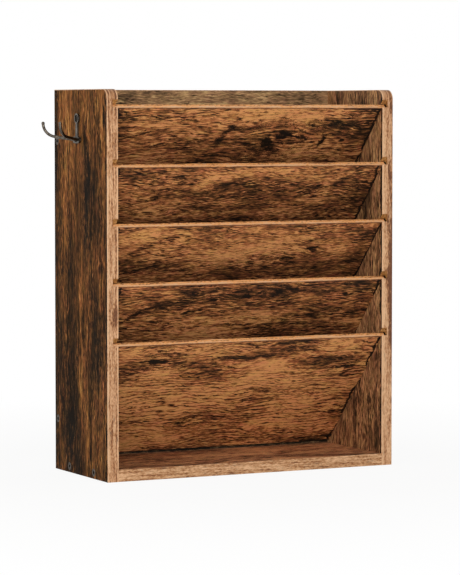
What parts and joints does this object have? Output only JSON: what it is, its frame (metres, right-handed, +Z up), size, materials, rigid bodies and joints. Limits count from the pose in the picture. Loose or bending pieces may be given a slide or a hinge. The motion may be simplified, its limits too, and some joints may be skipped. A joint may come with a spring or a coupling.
{
  "type": "wall file organizer",
  "caption": "Tall wall-hung paper organizer: a box of banded boards with sloping dividers between grooved sides, an open compartment below and a forked hook on its left side.",
  "frame": {"origin": "middle of the underside of the case", "axes": "+X to the right seen from the front, +Y from the front to the wall, +Z up"},
  "size_m": [0.4376, 0.16, 0.48],
  "materials": {
    "wood_print_board": "particle board faced with dark rustic wood-print foil, satin",
    "edge_banding": "light tan wood-print edge banding, satin",
    "connecting_screw_steel": "dull brown-grey plated steel",
    "hook_bronze": "dark bronze lacquer over cast metal",
    "hook_bronze_screws": "dark bronze plated steel",
    "zinc_plated_steel": "bright zinc plate"
  },
  "bodies": {
    "root": {"left_side_panel": "wood_print_board", "right_side_panel": "wood_print_board", "back_panel": "wood_print_board", "bottom_panel": "wood_print_board", "divider_1": "wood_print_board", "divider_2": "wood_print_board", "divider_3": "wood_print_board", "divider_4": "wood_print_board", "divider_5": "wood_print_board", "left_edge_band": "edge_banding", "right_edge_band": "edge_banding", "bottom_edge_band": "edge_banding", "back_edge_band": "edge_banding", "divider_1_edge_band": "edge_banding", "divider_2_edge_band": "edge_banding", "divider_3_edge_band": "edge_banding", "divider_4_edge_band": "edge_banding", "divider_5_edge_band": "edge_banding", "left_bottom_screws": "connecting_screw_steel", "right_bottom_screws": "connecting_screw_steel", "left_back_screws": "connecting_screw_steel", "right_back_screws": "connecting_screw_steel", "side_hook": "hook_bronze", "hook_screws": "hook_bronze_screws", "left_keyhole_plate": "zinc_plated_steel", "right_keyhole_plate": "zinc_plated_steel", "left_plate_screws": "zinc_plated_steel", "right_plate_screws": "zinc_plated_steel"}
  },
  "joints": []
}
